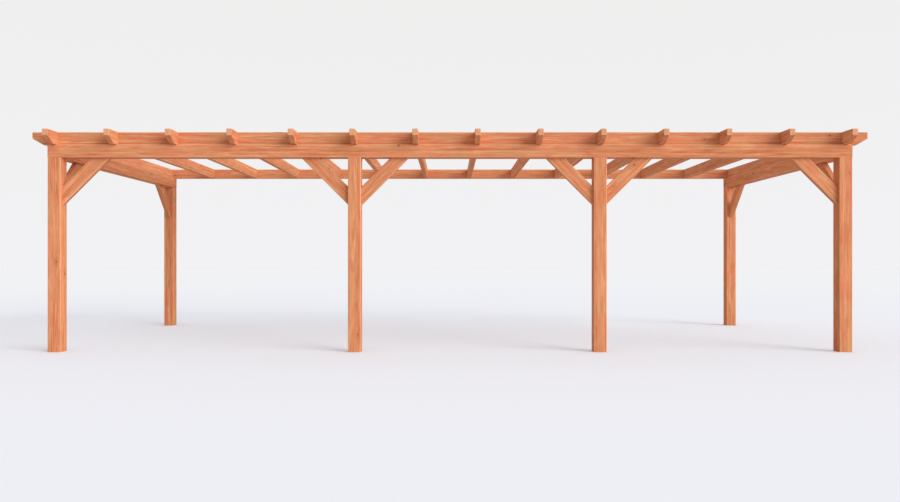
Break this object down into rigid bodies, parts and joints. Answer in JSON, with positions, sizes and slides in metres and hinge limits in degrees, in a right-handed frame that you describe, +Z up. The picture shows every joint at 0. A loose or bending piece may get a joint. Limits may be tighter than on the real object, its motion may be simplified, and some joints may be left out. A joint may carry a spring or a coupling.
{
  "type": "lean-to veranda",
  "caption": "Open timber lean-to veranda: braced posts carry a ring of beams, and rafters lapped over a front purlin run back to a plate on the house wall.",
  "frame": {"origin": "on the ground, at the middle of the plan's bounding box", "axes": "+X along the house wall to the right as seen from the garden, +Y towards the wall, +Z up"},
  "size_m": [9.74, 3.9, 2.56],
  "materials": {
    "post_timber": "planed softwood with an orange-brown stain",
    "beam_timber": "planed softwood with an orange-brown stain",
    "rafter_timber": "planed softwood with an orange-brown stain",
    "brace_timber": "planed softwood with an orange-brown stain"
  },
  "bodies": {
    "root": {"front_beam": "beam_timber", "front_brace_1_right": "brace_timber", "front_brace_2_left": "brace_timber", "front_brace_2_right": "brace_timber", "front_brace_3_left": "brace_timber", "front_brace_3_right": "brace_timber", "front_brace_4_left": "brace_timber", "front_post_1": "post_timber", "front_post_2": "post_timber", "front_post_3": "post_timber", "front_post_4": "post_timber", "front_purlin": "rafter_timber", "rafter_01": "rafter_timber", "rafter_02": "rafter_timber", "rafter_03": "rafter_timber", "rafter_04": "rafter_timber", "rafter_05": "rafter_timber", "rafter_06": "rafter_timber", "rafter_07": "rafter_timber", "rafter_08": "rafter_timber", "rafter_09": "rafter_timber", "rafter_10": "rafter_timber", "rafter_11": "rafter_timber", "rafter_12": "rafter_timber", "rafter_13": "rafter_timber", "rafter_14": "rafter_timber", "rear_post_left": "post_timber", "rear_post_right": "post_timber", "side_beam_left": "beam_timber", "side_beam_right": "beam_timber", "side_brace_left_front": "brace_timber", "side_brace_left_rear": "brace_timber", "side_brace_right_front": "brace_timber", "side_brace_right_rear": "brace_timber", "wall_plate": "rafter_timber"}
  },
  "joints": []
}
